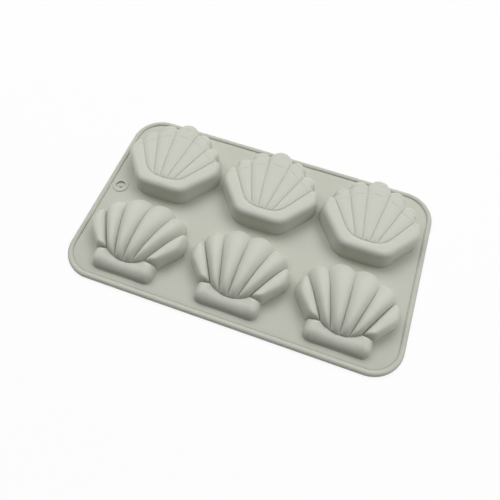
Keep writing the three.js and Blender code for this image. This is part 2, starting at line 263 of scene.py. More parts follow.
def rounded_rectangle(length: float, depth: float, radius: float, inset: float, steps: int) -> np.ndarray:
    """Finds points round a rounded rectangle, anticlockwise.

    Args:
        length: The rectangle's size along X.
        depth: Its size along Y.
        radius: The radius of its corners.
        inset: How far the points are drawn in from it.
        steps: How many steps each corner has.

    Returns:
        The points, of shape (n, 2).
    """
    points = []
    for corner, side in enumerate([(1, 1), (-1, 1), (-1, -1), (1, -1)]):
        turn = (corner + np.linspace(0, 1, steps + 1)) * QUARTER
        centre = np.array(side) * [length / 2 - radius, depth / 2 - radius]
        points.append(centre + (radius - inset) * np.column_stack([np.cos(turn), np.sin(turn)]))
    return np.vstack(points)


def mesh_of(
    name: str, points: np.ndarray, faces: Sequence[Sequence[int]], sharp: float = 50.0
) -> bpy.types.Mesh:
    """Makes a closed mesh, its doubled points merged, its faces outward and its hard edges marked.

    Args:
        name: The mesh's name.
        points: Its points in millimetres, of shape (n, 3).
        faces: The numbers of each face's points.
        sharp: The angle between faces, in degrees, past which an edge is hard.

    Returns:
        The mesh, in metres.
    """
    mesh = bpy.data.meshes.new(name)
    mesh.from_pydata((points * METRES).tolist(), [], [list(map(int, f)) for f in faces])
    work = bmesh.new()
    work.from_mesh(mesh)
    bmesh.ops.remove_doubles(work, verts=work.verts, dist=WELD)
    bmesh.ops.recalc_face_normals(work, faces=work.faces)
    for face in work.faces:
        face.smooth = True
    for edge in work.edges:
        edge.smooth = not (edge.is_manifold and edge.calc_face_angle(0) > math.radians(sharp))
    work.to_mesh(mesh)
    work.free()
    mesh.validate()
    return mesh


def strips(columns: int, rows: int, gap: int) -> list[tuple[int, int, int, int]]:
    """Lists the faces of a grid of points that closes round its columns, and along each but for one gap.

    Args:
        columns: How many columns stand round the grid.
        rows: How many rows each column has.
        gap: The row after which the columns are open.

    Returns:
        The numbers of each face's points.
    """
    faces = []
    for k in range(columns):
        here, after = k * rows, ((k + 1) % columns) * rows
        steps = [(j, (j + 1) % rows) for j in range(rows) if j != gap]
        faces += [(here + j, after + j, after + up, here + up) for j, up in steps]
    return faces


def add_piece(name: str, mesh: bpy.types.Mesh, node: str, material: bpy.types.Material) -> bpy.types.Object:
    """Adds a finished piece that stands for one solid.

    Args:
        name: The piece's name.
        mesh: Its mesh, in place.
        node: The solid that it stands for.
        material: Its finish.

    Returns:
        The new object.
    """
    piece = bpy.data.objects.new(name, mesh)
    bpy.context.scene.collection.objects.link(piece)
    mesh.materials.clear()
    mesh.materials.append(material)
    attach(piece, BODY)
    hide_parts(node)
    log.info("%s: %d faces, stands for %s", name, len(mesh.polygons), node)
    return piece


# Finishes


@dataclass(frozen=True)
class MouldedSilicone:
    """Matte pigmented silicone as it leaves a blasted steel tool.

    Gives the eye a pale sage grey that is even and soft, with painted shade that darkens it towards the web
    and the cups' feet, with no clear highlight, a faint bloom at grazing angles and a grain too fine to see
    except as softness.
    """

    name: str = "moulded_silicone"
    colour: str = "#c9cac0"
    # Pigment clouds: how wide they are, how they break up, and what they do to colour and roughness.
    cloud_colour: str = "#c4c5ba"
    cloud_size: float = 24.0
    cloud_detail: float = 3.0
    cloud_break: float = 0.55
    cloud_range: tuple[float, float] = (0.3, 0.7)
    # Painted shade: the web and the cups' feet, up to the first height below, take a darker colour that
    # stands in for the shade near the web. It has faded out by the second height.
    foot_shade_colour: str = "#bbbcb1"
    shade_top: float = 3.4
    shade_end: float = 8.0
    ior: float = 1.41
    roughness: float = 0.62
    roughness_spread: float = 0.04
    bloom: float = 0.12
    bloom_roughness: float = 0.5
    # The tool's blasted grain is about 0.15 mm across. It is drawn at 0.6 mm, so that it shows at all.
    grain_size: float = 0.6
    grain_depth: float = 0.02
    grain_detail: float = 2.0
    grain_break: float = 0.6
    grain_strength: float = 0.5

    def make(self) -> bpy.types.Material:
        """Makes the material.

        Returns:
            The material, with its patterns on Object coordinates.
        """
        material = bpy.data.materials.new(self.name)
        tree = blank_tree(material)
        place = add_node(tree, "ShaderNodeTexCoord").outputs["Object"]
        cloud = self.noise(tree, place, self.cloud_size, self.cloud_detail, self.cloud_break)
        tint = add_node(
            tree,
            "ShaderNodeMix",
            {6: linear(self.cloud_colour), 7: linear(self.colour)},
            {0: cloud},
            data_type="RGBA",
        )
        # Painted shade: the colour darkens by height towards the web and the cups' feet.
        height = add_node(tree, "ShaderNodeSeparateXYZ", links={"Vector": place}).outputs["Z"]
        shade_fade = add_node(
            tree,
            "ShaderNodeMapRange",
            {"From Min": self.shade_top * METRES, "From Max": self.shade_end * METRES},
            {"Value": height},
            interpolation_type="SMOOTHSTEP",
        )
        shade = add_node(
            tree,
            "ShaderNodeMix",
            {6: linear(self.foot_shade_colour)},
            {0: shade_fade.outputs[0], 7: tint.outputs[2]},
            data_type="RGBA",
        )
        rough = add_node(
            tree,
            "ShaderNodeMapRange",
            {
                "From Min": self.cloud_range[0],
                "From Max": self.cloud_range[1],
                "To Min": self.roughness - self.roughness_spread,
                "To Max": self.roughness + self.roughness_spread,
            },
            {"Value": cloud},
        )
        relief = add_node(
            tree,
            "ShaderNodeBump",
            {"Strength": self.grain_strength, "Distance": self.grain_depth * METRES},
            {"Height": self.noise(tree, place, self.grain_size, self.grain_detail, self.grain_break)},
        )
        shader = add_node(
            tree,
            "ShaderNodeBsdfPrincipled",
            {
                "IOR": self.ior,
                "Metallic": 0.0,
                "Sheen Weight": self.bloom,
                "Sheen Roughness": self.bloom_roughness,
            },
            {
                "Base Color": shade.outputs[2],
                "Roughness": rough.outputs[0],
                "Normal": relief.outputs["Normal"],
            },
        )
        add_node(tree, "ShaderNodeOutputMaterial", links={"Surface": shader.outputs["BSDF"]})
        return material

    def noise(
        self, tree: bpy.types.NodeTree, place: bpy.types.NodeSocket, size: float, detail: float, broken: float
    ) -> bpy.types.NodeSocket:
        """Adds a noise pattern.

        Args:
            tree: The node tree it goes into.
            place: The coordinates that it reads.
            size: How wide one patch is, in millimetres.
            detail: How many finer layers it has.
            broken: How strong they are.

        Returns:
            Its value, about 0 to 1.
        """
        values = {"Scale": 1 / (size * METRES), "Detail": detail, "Roughness": broken}
        return add_node(tree, "ShaderNodeTexNoise", values, {"Vector": place}).outputs["Fac"]


@dataclass(frozen=True)
class PaperFloor:
    """Matte white paper, mostly white of itself to the camera: it stays pale but takes a shadow."""

    name: str = "white_paper_sweep"
    colour: str = "#f4f4f2"
    own_white: float = 0.9

    def make(self) -> bpy.types.Material:
        """Makes the material.

        Returns:
            The material.
        """
        material = bpy.data.materials.new(self.name)
        tree = blank_tree(material)
        seen = camera_rays(tree)
        paper = add_node(tree, "ShaderNodeBsdfDiffuse", {"Color": linear(self.colour)})
        white = add_node(tree, "ShaderNodeEmission", {"Strength": 1.0})
        share = add_node(tree, "ShaderNodeMath", {1: self.own_white}, {0: seen}, operation="MULTIPLY")
        mixed = add_node(
            tree, "ShaderNodeMixShader", links={0: share.outputs[0], 1: paper.outputs[0], 2: white.outputs[0]}
        )
        add_node(tree, "ShaderNodeOutputMaterial", links={"Surface": mixed.outputs[0]})
        return material


# The cups' forms


@dataclass
class Columns:
    """The columns of a cup: lines in plan from its outline to its spine.

    They run anticlockwise from the middle of the front.
    """

    foot: np.ndarray
    top: np.ndarray
    spine_share: np.ndarray
    across: np.ndarray
    rib: np.ndarray
    flank: np.ndarray
    slide: np.ndarray
    along: np.ndarray = field(default_factory=lambda: np.zeros(0))
    total: float = 0.0
    outward: np.ndarray = field(default_factory=lambda: np.zeros(0))
    # How widely an outline is evened out after it was moved, and how widely its bends are measured.
    evened: float = 0.3
    bend_reach: float = 0.8
    # A notch turns in faster than this, in radians for each millimetre. The border gives way to it this far
    # from it and fades in this widely, both as shares of the border's rounding.
    notch_bend: float = -0.12
    notch_share: float = 1.2
    fade_share: float = 0.4

    def measured(self, rounding: float) -> "Columns":
        """Rounds the outline's notches and works out its length and its outward directions.

        Args:
            rounding: How widely the outline is smoothed.

        Returns:
            The same columns.
        """
        for reach in (rounding, 0.0):
            steps = np.linalg.norm(np.roll(self.foot, -1, axis=0) - self.foot, axis=1)
            self.along = np.concatenate([[0], np.cumsum(steps)[:-1]])
            self.total = float(steps.sum())
            if reach:
                self.foot = smoothed(self.foot, self.along, self.total, reach)
        ahead = np.roll(self.foot, -1, axis=0) - self.foot
        ahead /= np.linalg.norm(ahead, axis=1)[:, None]
        tangent = ahead + np.roll(ahead, 1, axis=0)
        tangent /= np.linalg.norm(tangent, axis=1)[:, None]
        self.outward = np.column_stack([tangent[:, 1], -tangent[:, 0]])
        return self

    def drawn_in(self, inset: float) -> "Columns":
        """Draws the outline in by one wall, for the cavity.

        Args:
            inset: How thick the wall is.

        Returns:
            New columns with the same tops.
        """
        return replace(self, foot=self.foot - inset * self.outward).measured(self.evened)

    def border(self, rounding: float, margin: float) -> np.ndarray:
        """Finds the cup's border on the web, outside its foot.

        Args:
            rounding: How widely the border cuts across the notches.
            margin: How far it lies from the foot.

        Returns:
            One point for each column.
        """
        plain = self.foot + margin * self.outward
        soft = smoothed(plain, self.along, self.total, rounding)
        notches = self.bends() < self.notch_bend
        near = (apart_round(self.along, self.total)[:, notches] < self.notch_share * rounding).any(axis=1)
        notch = smoothed(near.astype(float), self.along, self.total, self.fade_share * rounding)[:, None]
        return smoothed(plain + (soft - plain) * notch, self.along, self.total, self.evened)

    def bends(self) -> np.ndarray:
        """Works out how fast the outline turns at each column.

        Returns:
            Radians for each millimetre, above 0 where the outline is convex.
        """
        turn = np.cross(self.outward, np.roll(self.outward, -1, axis=0))
        steps = np.linalg.norm(np.roll(self.foot, -1, axis=0) - self.foot, axis=1)
        return smoothed(np.arcsin(np.clip(turn, -1, 1)) / steps, self.along, self.total, self.bend_reach)


@dataclass
class CupForm:
    """What both kinds of cup share. Heights are above the web's top."""

    width: float
    length: float
    height: float
    spine_half: float
    spine_front: float
    spine_rise: float
    notches: Sequence[tuple[float, float]]
    spine_shares: Sequence[float]
    swells: Sequence[float]
    wall: float = 2.0
    web_thickness: float = 1.8
    foot_fillet: float = 0.5
    mouth_round: float = 0.6
    rib_steps: int = 30
    # How much of a rib's columns are evenly spaced, and how much draws together towards its creases.
    even_share: float = 0.18
    drawn_share: float = 0.82

    def plan(self, shares: Sequence[Sequence[float]]) -> np.ndarray:
        """Turns shares of half the width and of the length into points of the plan."""
        return np.array(shares) * [self.width / 2, self.length]

    def spine(self, shares: np.ndarray) -> np.ndarray:
        """Finds points of the spine's arc.

        Args:
            shares: How far along it each point lies, from 0 at its middle to 1 at its end.

        Returns:
            The points, of shape (n, 2).
        """
        radius = (self.spine_half**2 + self.spine_rise**2) / (2 * self.spine_rise)
        turn = shares * math.asin(min(1, self.spine_half / radius))
        return np.column_stack([radius * np.sin(turn), self.spine_front + radius * (1 - np.cos(turn))])

    def across_steps(self) -> np.ndarray:
        """Places the columns of a rib, closer together towards its creases."""
        even = np.linspace(-1, 1, self.rib_steps + 1)
        return self.even_share * even + self.drawn_share * np.sin(even * QUARTER)

    def rib_columns(self) -> dict[str, np.ndarray]:
        """Works out the columns over the ribs, from the middle of the back to the outermost crease.

        Returns:
            Their feet, spine shares, rib numbers and places across their ribs.
        """
        notches = list(self.plan(self.notches))
        shares = list(self.spine_shares)
        straddles = notches[0][0] > 0
        if straddles:
            notches.insert(0, notches[0] * [-1, 1])
            shares.insert(0, -shares[0])
        parts: dict[str, list[np.ndarray]] = {"foot": [], "spine": [], "rib": [], "across": []}
        for rib in range(len(notches) - 1):
            across = self.across_steps()
            across = across[across > -HAIR] if straddles and rib == 0 else across[1 if rib else 0 :]
            share = (across + 1) / 2
            parts["foot"].append(swollen_points(notches[rib], notches[rib + 1], self.swells[rib], share))
            parts["spine"].append(shares[rib] + (shares[rib + 1] - shares[rib]) * share)
            parts["rib"].append(np.full(len(across), rib))
            parts["across"].append(across)
        return {name: np.concatenate(values) for name, values in parts.items()}

    def whole(self, ribs: dict[str, np.ndarray], rest: dict[str, np.ndarray]) -> Columns:
        """Joins the ribs' and the other columns of the right half and mirrors them into the whole ring.

        Args:
            ribs: The ribs' columns.
            rest: The columns from the outermost crease to the middle of the front.

        Returns:
            The whole ring.
        """
        ribs_count, rest_count = len(ribs["spine"]), len(rest["spine"])
        half = {
            "foot": np.vstack([ribs["foot"], rest["foot"]]),
            "spine_share": np.concatenate([ribs["spine"], rest["spine"]]),
            "across": np.concatenate([ribs["across"], np.full(rest_count, np.nan)]),
            "rib": np.concatenate([ribs["rib"], np.full(rest_count, -1)]),
            "flank": np.concatenate([np.full(ribs_count, np.nan), rest["flank"]]),
            "slide": np.concatenate([np.zeros(ribs_count), rest["slide"]]),
        }
        slid = half["slide"][:, None] * (self.ear() - self.spine_end())
        half["top"] = self.spine(half["spine_share"]) + slid
        count = ribs_count + rest_count
        order = np.concatenate([np.arange(count)[::-1], np.arange(1, count - 1)])
        whole = {name: values[order] for name, values in half.items()}
        for name in ("foot", "top"):
            whole[name][count:, 0] *= -1
        return Columns(**whole)

    def spine_end(self) -> np.ndarray:
        """Gives the end of the spine on the right."""
        return self.spine(np.array([1.0]))[0]

    def ear(self) -> np.ndarray:
        """Gives the point of the outline towards which columns may slide from the spine's end."""
        return self.spine_end()

    def start_height(self, sheet: Sheet) -> float:
        """Gives the height at which a sheet leaves its rounded foot or mouth."""
        return self.foot_fillet if sheet is Sheet.OUTER else self.mouth_round - self.web_thickness

    def ring(self) -> Columns:
        """Works out the whole ring of columns."""
        raise NotImplementedError

    def rise(self, ring: Columns, sheet: Sheet) -> np.ndarray:
        """Works out the sheet from its foot to the spine, of shape (columns, rows, 3)."""
        raise NotImplementedError


@dataclass
class ScallopForm(CupForm):
    """A shallow fan of flat ribs inside a smooth horseshoe lip."""

    edge_radius: float = 5.0
    draft_inset: float = 1.3
    back_drop: float = 1.0
    side_drop: float = 4.0
    crease_depth: float = 0.9
    crease_reach: float = 0.9
    crease_power: float = 1.5
    crease_corner: float = 5.0
    belly_depth: float = 0.8
    belly_reach: float = 2.6
    arc_depth: float = 0.55
    arc_reach: float = 0.9
    arc_swell: float = 0.12
    arc_shares: Sequence[float] = (0.923, 0.766)
    # Across a rib an arc fades by this power of the way to its creases. Along the lip it ends at arc_end, and
    # fades over this share of the way there.
    arc_square: int = 10
    arc_end: float = 0.24
    arc_fade_share: float = 0.4
    # Where creases meet, their wide hollows add up to this many times the depth of one at most.
    belly_most: float = 1.4
    lip: Sequence[tuple[float, float]] = ()
    front_share: float = 0.62
    lip_steps: int = 56
    lip_bunching: float = 1.25
    spine_steps: int = 24
    corner_steps: int = 8
    wall_steps: int = 5
    # Steps of the top: over its rounded edge, over an arc, between the arcs, on to the spine and beside it.
    edge_steps: int = 14
    arc_steps: int = 6
    between_steps: int = 6
    inner_steps: int = 10
    last_steps: int = 6
    edge_bunching: float = 1.5
    last_span: float = 0.05
    # Off the ribs the rows bunch towards both ends instead, fading in over these shares of the lobe.
    plain_bunching: tuple[float, float] = (1.2, 1.5)
    plain_start: float = 0.25
    plain_end: float = 0.5
    # The wall's columns are searched this far in, at this many places.
    probe_share: float = 0.5
    probes: int = 81

    def ring(self) -> Columns:
        """Works out the ring: ribs, a lobe to the spine's end, and a front as finely divided as the ribs.

        Returns:
            The whole ring of columns.
        """
        ribs = self.rib_columns()
        outline = np.vstack([self.plan([self.notches[-1]]), self.plan(self.lip)])
        lobe_shares = np.linspace(0, 1, self.lip_steps + 1)[1:] ** self.lip_bunching * self.front_share
        lobe = curve_points(outline, lobe_shares)
        count = len(ribs["spine"]) - 1
        front = curve_points(outline, np.linspace(self.front_share, 1, count + 1)[1:])
        rest = {
            "foot": np.vstack([lobe, front]),
            "spine": np.concatenate([np.ones(len(lobe)), ribs["spine"][-2::-1]]),
            "flank": np.concatenate([lobe_shares / self.front_share, np.full(len(front), np.nan)]),
            "slide": np.zeros(len(lobe) + len(front)),
        }
        return self.whole(ribs, rest)

    def creases(self) -> list[np.ndarray]:
        """Works out where the top is creased: between each two ribs, and along the lip.

        Returns:
            Each crease's line in plan.
        """
        starts = self.spine(np.array(self.spine_shares))
        lines = []
        for start, notch in zip(starts[:-1], self.plan(self.notches[:-1])):
            lines += [np.array([start, notch]), np.array([start, notch]) * [-1, 1]]
        notch = self.plan([self.notches[-1]])[0]
        arc = self.spine(np.linspace(0, 1, self.spine_steps + 1))
        end = arc[-1]
        before = notch - end
        before = end + before * (self.crease_corner / np.linalg.norm(before))
        kept = arc[np.linalg.norm(arc - end, axis=1) > self.crease_corner]
        turn = np.linspace(0, 1, self.corner_steps + 1)[:, None]
        corner = (1 - turn) ** 2 * kept[-1] + 2 * turn * (1 - turn) * end + turn**2 * before
        half = np.vstack([kept, corner[1:], notch])
        lines.append(np.vstack([half[::-1] * [-1, 1], half[1:]]))
        return lines

    def top(self, points: np.ndarray) -> np.ndarray:
        """Gives the height of the top's form without its rounded edge.

        Args:
            points: Points in plan, of shape (..., 2).

        Returns:
            Heights above the web.
        """
        out = 2 * np.abs(points[..., 0]) / self.width
        back = points[..., 1] / self.length
        crown = self.height - self.back_drop * back**2 - self.side_drop * out**2 * back
        narrow = np.zeros(points.shape[:-1])
        wide = np.zeros(points.shape[:-1])
        for line in self.creases():
            apart = distance_to_path(points, line)
            narrow = np.maximum(narrow, np.clip(1 - apart / self.crease_reach, 0, 1) ** self.crease_power)
            wide += np.exp(-((apart / self.belly_reach) ** 2))
        return crown - self.crease_depth * narrow - self.belly_depth * np.minimum(wide, self.belly_most)

    def rise(self, ring: Columns, sheet: Sheet) -> np.ndarray:
        """Works out the wall, its rounded edge and the top, as heights over straight columns.

        Args:
            ring: The columns, drawn in for the cavity.
            sheet: Which side of the wall it is.

        Returns:
            Points of shape (columns, rows, 3), heights above the web's top.
        """
        wall = self.wall if sheet is Sheet.CAVITY else 0.0
        radius = self.edge_radius - wall
        base = self.start_height(sheet)
        span = ring.top - ring.foot
        length = np.linalg.norm(span, axis=1)
        probes = self.probe_share * np.linspace(0, 1, self.probes) ** 2
        tried = ring.foot[:, None, :] + probes[None, :, None] * span[:, None, :]
        grown = np.maximum.accumulate(distance_to_path(tried, ring.foot, closed=True), axis=1)
        levels = np.linspace(0, self.draft_inset, self.wall_steps + 1)
        climb = np.array([np.interp(levels, row, probes) for row in grown])
        arcs = self.arc_places(ring, length)
        onward = self.top_shares(ring, length, arcs)
        shares = np.hstack([climb, climb[:, -1:] + (1 - climb[:, -1:]) * onward])
        plan = ring.foot[:, None, :] + shares[..., None] * span[:, None, :]
        apart = distance_to_path(plan, ring.foot, closed=True)
        bend = np.clip((self.draft_inset + radius - apart) / radius, 0, 1)
        height = self.top(plan) - wall - radius * (1 - np.sqrt(1 - bend**2))
        edge = self.wall_steps
        height[:, :edge] = base + (height[:, edge : edge + 1] - base) * (levels[:-1] / levels[-1])
        if sheet is Sheet.OUTER:
            for place in arcs:
                gap = np.abs(shares - place[:, None]) * length[:, None] / self.arc_reach
                cut = np.clip(1 - gap, 0, 1) ** self.crease_power
                height -= self.arc_depth * cut * self.arc_fade(ring)[:, None]
        return np.dstack([plan, height])

    def arc_fade(self, ring: Columns) -> np.ndarray:
        """Works out how strongly the growth arcs show: fully on the ribs and on the lip's rounded ends.

        Args:
            ring: The columns.

        Returns:
            A share for each column.
        """
        on_rib = 1 - np.abs(np.nan_to_num(ring.across)) ** self.arc_square
        on_lip = np.clip((self.arc_end - ring.flank) / (self.arc_fade_share * self.arc_end), 0, 1)
        return np.where(ring.rib >= 0, on_rib, np.nan_to_num(on_lip))

    def arc_places(self, ring: Columns, length: np.ndarray) -> list[np.ndarray]:
        """Finds where the growth arcs cross each column, flatter than the outline's scallops.

        Args:
            ring: The columns.
            length: Their lengths in plan.

        Returns:
            For each arc, one share for each column, from its foot to the spine.
        """
        corners = self.plan(self.notches)
        chords = np.linalg.norm(np.diff(np.vstack([corners[:1] * [-1, 1], corners]), axis=0), axis=1)
        swell = chords * (np.array(self.swells) - self.arc_swell)
        bulge = np.where(ring.rib >= 0, swell[ring.rib] * (1 - np.nan_to_num(ring.across) ** 2), 0)
        return [1 - share * (length - bulge) / length for share in self.arc_shares]

    def top_shares(self, ring: Columns, length: np.ndarray, arcs: Sequence[np.ndarray]) -> np.ndarray:
        """Places the rows of the top: close together at its edge, at the growth arcs and at the spine.

        Args:
            ring: The columns.
            length: Their lengths in plan.
            arcs: Where each growth arc crosses each column.

        Returns:
            Shares from the top of the wall to the spine, of shape (columns, rows).
        """
        half = (self.arc_reach / length)[:, None]
        first, second = (arc[:, None] for arc in arcs)
        near = np.linspace(-1, 1, self.arc_steps + 1)[None, :]
        edge = np.linspace(0, 1, self.edge_steps + 1)[None, 1:-1] ** self.edge_bunching
        between = np.linspace(0, 1, self.between_steps + 1)[None, 1:-1]
        inner = np.linspace(0, 1, self.inner_steps + 1)[None, 1:-1]
        last = np.linspace(0, 1, self.last_steps + 1)[None, :]
        ruled = np.hstack(
            [
                edge * (first - half),
                first + half * near,
                first + half + (second - first - 2 * half) * between,
                second + half * near,
                second + half + (1 - self.last_span - second - half) * inner,
                1 - self.last_span + self.last_span * last + 0 * half,
            ]
        )
        foot_power, spine_power = self.plain_bunching
        even = np.linspace(0, 1, ruled.shape[1] + 1)[None, 1:]
        plain = 1 - (1 - even**foot_power) ** spine_power
        fade = np.clip((self.plain_end - ring.flank) / (self.plain_end - self.plain_start), 0, 1)
        weight = np.where(ring.rib >= 0, 1, np.nan_to_num(fade))
        return plain + (ruled - plain) * weight[:, None]


@dataclass
class ClamForm(CupForm):
    """Puffy ribs that roll down behind a rounded hinge bar."""

    hinge_height: float = 10.9
    hinge_radius: float = 7.5
    hinge_inset: float = 0.8
    hinge_dip: float = 2.2
    hinge_crease: float = 0.8
    crease_reach: float = 1.6
    # The ear is the outermost rib's end beside the bar. Its columns' tops slide along the crease between the
    # two, which falls from the spine's end.
    ear_slide: float = 0.86
    ear_slide_power: float = 0.85
    ear_fall: float = 2.4
    ear_sink: float = 2.0
    ear_sink_power: int = 6
    ear_reach: float = 4.0
    ear_height: float = 7.4
    # How far in the ear rounds off from the last valley, from its crease to the bar and from the outline.
    ear_valley_round: float = 7.5
    ear_crease_round: float = 3.5
    ear_outline_round: float = 5.0
    crease_heights: Sequence[float] = ()
    crest_heights: Sequence[float] = ()
    peaks: Sequence[float] = ()
    flank: Sequence[tuple[float, float]] = ()
    hinge: Sequence[tuple[float, float]] = ()
    fullness: float = 0.68
    crease_fullness: float = 1.8
    end_fullness: float = 1.8
    end_power: float = 0.8
    front_share: float = 0.3
    # How much of a flank's columns bunch towards its ends.
    flank_bunching: float = 0.5
    flank_steps: int = 34
    wall_steps: int = 4
    rise_steps: int = 20
    crown_steps: int = 24
    bar_bunching: float = 1.5
    # A crown rises at least this far above its end, and the bar's side at least this far above its foot.
    least_crown: float = 1e-6
    least_side: float = 0.2
    # How many places along each column are tried to find the bar's wall.
    probes: int = 61

    def ring(self) -> Columns:
        """Works out the ring: ribs, then the outermost rib's flank, the hinge bar's end and its front.

        Returns:
            The whole ring of columns.
        """
        ribs = self.rib_columns()
        outline = np.vstack([self.plan([self.notches[-1]]), self.plan(self.flank)])
        steps = np.linspace(0, 1, self.flank_steps + 1)
        bunched = (1 - np.cos(steps * math.pi)) / 2
        flank_shares = self.flank_bunching * bunched + (1 - self.flank_bunching) * steps
        flank = curve_points(outline, flank_shares[1:])
        slide = self.ear_slide * steps**self.ear_slide_power
        bar = np.vstack([outline[-1:], self.plan(self.hinge)])
        end = curve_points(bar, steps[1:] * self.front_share)
        count = len(ribs["spine"]) - 1
        front = curve_points(bar, np.linspace(self.front_share, 1, count + 1)[1:])
        rest = {
            "foot": np.vstack([flank, end, front]),
            "spine": np.concatenate([np.ones(len(flank) + len(end)), ribs["spine"][-2::-1]]),
            "flank": np.concatenate([flank_shares[1:], np.full(len(end) + len(front), np.nan)]),
            "slide": np.concatenate([slide[1:], slide[-2::-1], np.zeros(len(front))]),
        }
        return self.whole(ribs, rest)

    def ear(self) -> np.ndarray:
        """Gives the point of the outline where the ear crease between rib and bar comes out."""
        return self.plan([self.flank[-1]])[0]

    def bar_top(self, share: np.ndarray) -> np.ndarray:
        """Gives the height of the bar's top beside each share of the spine."""
        return self.hinge_height - self.hinge_dip * (1 - share**2)

    def spine_height(self, share: np.ndarray, slide: np.ndarray) -> np.ndarray:
        """Gives the height of the spine at its shares, and of the ear crease that falls from its end."""
        fallen = (self.bar_top(share) - self.hinge_crease) * np.sqrt(1 - slide**self.ear_fall)
        return fallen - self.ear_sink * share**self.ear_sink_power * (1 - slide**2)

    def places_across(self, ring: Columns) -> np.ndarray:
        """Gives where each column lies across its rib or its flank, from -1 to 1."""
        return np.where(np.isnan(ring.across), 2 * np.nan_to_num(ring.flank) - 1, np.nan_to_num(ring.across))

    def peak(self, ring: Columns) -> tuple[np.ndarray, np.ndarray]:
        """Works out the highest place of each column over the ribs.

        Args:
            ring: The columns.

        Returns:
            Their heights, and how far in from the foot they lie as shares of the columns.
        """
        last = len(self.crease_heights) - 1
        across = self.places_across(ring)
        rib = np.where(ring.rib < 0, last, ring.rib)
        share = (across + 1) / 2
        ear = self.spine_height(np.array(1.0), np.array(self.ear_slide))
        heights = np.append(np.array(self.crease_heights) * self.height, ear)
        inner, outer = heights[rib], heights[rib + 1]
        crest = np.append(self.crest_heights, 0)[rib] * self.height
        swell = (crest - (inner + outer) / 2) * np.maximum(1 - across**2, 0) ** self.fullness
        swell = np.where(np.isnan(ring.flank), swell, 0)
        peaks = np.array(self.peaks)
        return inner + (outer - inner) * share + swell, peaks[rib] + (peaks[rib + 1] - peaks[rib]) * share

    def rise(self, ring: Columns, sheet: Sheet) -> np.ndarray:
        """Works out the puffy ribs and the hinge bar.

        Args:
            ring: The columns, drawn in for the cavity.
            sheet: Which side of the wall it is.

        Returns:
            Points of shape (columns, rows, 3), heights above the web's top.
        """
        wall = self.wall if sheet is Sheet.CAVITY else 0.0
        base = self.start_height(sheet)
        length = np.linalg.norm(ring.top - ring.foot, axis=1)
        end = self.spine_height(ring.spine_share, ring.slide) - wall
        inset, height = self.over_ribs(ring, length, end, wall, base)
        bar_inset, bar_height = self.over_bar(ring, length, end, wall, base)
        on_bar = np.isnan(ring.across) & np.isnan(ring.flank)
        inset = np.where(on_bar[:, None], bar_inset, inset)
        height = np.where(on_bar[:, None], bar_height, height)
        span = (ring.top - ring.foot)[:, None, :]
        plan = ring.foot[:, None, :] + (inset / length[:, None])[..., None] * span
        return np.dstack([plan, height + self.ear_swell(ring, plan)])

    def ear_swell(self, ring: Columns, plan: np.ndarray) -> np.ndarray:
        """Works out how far the outermost rib swells, like a pillow between its creases and the outline.

        Args:
            ring: The columns.
            plan: Points in plan, of shape (columns, rows, 2).

        Returns:
            Heights of shape (columns, rows), 0 on the other ribs and on the bar.
        """
        notch, end = self.plan([self.notches[-1]])[0], self.spine_end()
        right_half = np.dstack([np.abs(plan[..., 0]), plan[..., 1]])
        sides = (
            (distance_to_path(right_half, np.vstack([notch, end])), self.ear_valley_round),
            (distance_to_path(right_half, np.vstack([end, self.ear()])), self.ear_crease_round),
            (distance_to_path(plan, ring.foot, closed=True), self.ear_outline_round),
        )
        swell = np.full(plan.shape[:2], self.ear_height)
        for apart, reach in sides:
            swell *= np.sqrt(1 - (1 - np.clip(apart / reach, 0, 1)) ** 2)
        return np.where(np.isnan(ring.flank)[:, None], 0, swell)

    def over_ribs(
        self, ring: Columns, length: np.ndarray, end: np.ndarray, wall: float, base: float
    ) -> tuple[np.ndarray, np.ndarray]:
        """Works out columns that climb a quarter ellipse to their peak and fall along another to the spine.

        Args:
            ring: The columns.
            length: Their lengths in plan.
            end: Their heights at the spine.
            wall: How far the sheet lies under the outer one.
            base: The height at which it starts.

        Returns:
            Distances in from the foot and heights, each of shape (columns, rows).
        """
        peak, share = self.peak(ring)
        peak = np.maximum(peak - wall, end + self.least_crown)
        rise = (share * length)[:, None]
        up = np.linspace(0, QUARTER, self.rise_steps + 1)[None, :-1]
        middle = np.maximum(1 - self.places_across(ring) ** 2, 0)
        full = (self.crease_fullness + self.end_fullness * middle**self.end_power)[:, None]
        down = np.sin(np.linspace(0, QUARTER, self.crown_steps + 1))[None, :]
        fall = np.sqrt(1 - down**full)
        inset = np.hstack([rise * (1 - np.cos(up)), rise + (length[:, None] - rise) * down])
        low, high = end[:, None], peak[:, None]
        height = np.hstack([base + (high - base) * np.sin(up), low + (high - low) * fall])
        return inset, height

